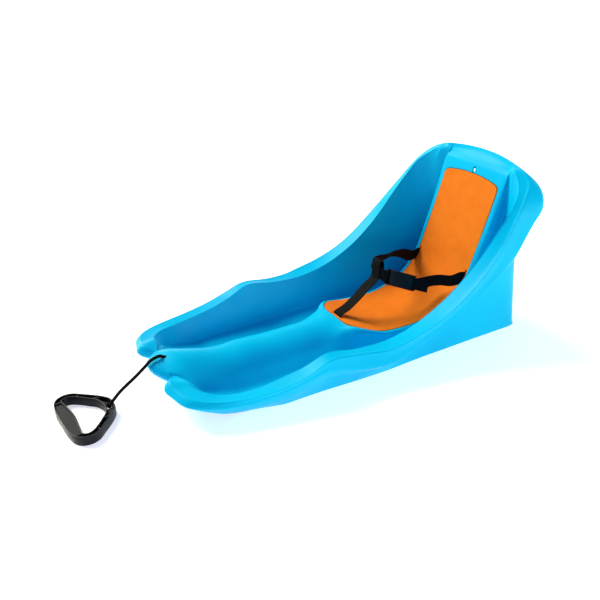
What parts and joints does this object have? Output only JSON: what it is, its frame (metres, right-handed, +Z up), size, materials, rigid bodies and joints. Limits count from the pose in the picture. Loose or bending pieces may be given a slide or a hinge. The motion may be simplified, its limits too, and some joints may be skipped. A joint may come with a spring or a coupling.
{
  "type": "baby pull sled",
  "caption": "Moulded plastic pull sled for a small child, with foot wells, a high back with a padded seat, a lap harness with a buckle, and a pull cord with a handle.",
  "frame": {"origin": "on the ground, under the middle of the sled with its pull handle lying ahead of it", "axes": "+Z up, +Y toward the seat back, so the nose and the handle point to -Y, and +X to the rider's left"},
  "size_m": [0.382, 0.9406, 0.343],
  "materials": {
    "hull_blue": "satin moulded polyethylene, cyan blue",
    "pad_orange": "matt closed-cell foam, orange",
    "webbing_black": "woven webbing, black",
    "cord_black": "braided cord, black",
    "moulded_black": "injection moulded, fine matt, black"
  },
  "bodies": {
    "sled": {"hull_shell": "hull_blue", "seat_pad": "pad_orange", "crotch_strap": "webbing_black", "waist_strap_right": "webbing_black", "waist_strap_left": "webbing_black", "strap_stopper_crotch": "moulded_black", "strap_stopper_left": "moulded_black", "strap_stopper_right": "moulded_black", "buckle_housing": "moulded_black", "buckle_clip": "moulded_black", "pull_cord": "cord_black", "cord_knot_nose": "cord_black", "cord_knot_handle": "cord_black"},
    "prong_upper": {"buckle_prong_upper": "moulded_black"},
    "prong_lower": {"buckle_prong_lower": "moulded_black"},
    "handle": {"pull_handle": "moulded_black"}
  },
  "joints": [
    {"name": "prong_upper_squeeze", "type": "hinge", "parent": "sled", "child": "prong_upper", "pos_m": [0.00735, 0.23406, 0.11629], "axis": [-0.8837, 0.1437, -0.4455], "range_deg": [0, 7], "stiffness_Nm_per_rad": 0.5},
    {"name": "prong_lower_squeeze", "type": "hinge", "parent": "sled", "child": "prong_lower", "pos_m": [0.01567, 0.22325, 0.0963], "axis": [0.8837, -0.1437, 0.4455], "range_deg": [0, 7], "stiffness_Nm_per_rad": 0.5},
    {"name": "handle_tilt", "type": "hinge", "parent": "sled", "child": "handle", "pos_m": [0.01094, -0.38313, 0.0122], "axis": [-0.9969, -0.0785, 0], "range_deg": [0, 70]}
  ]
}
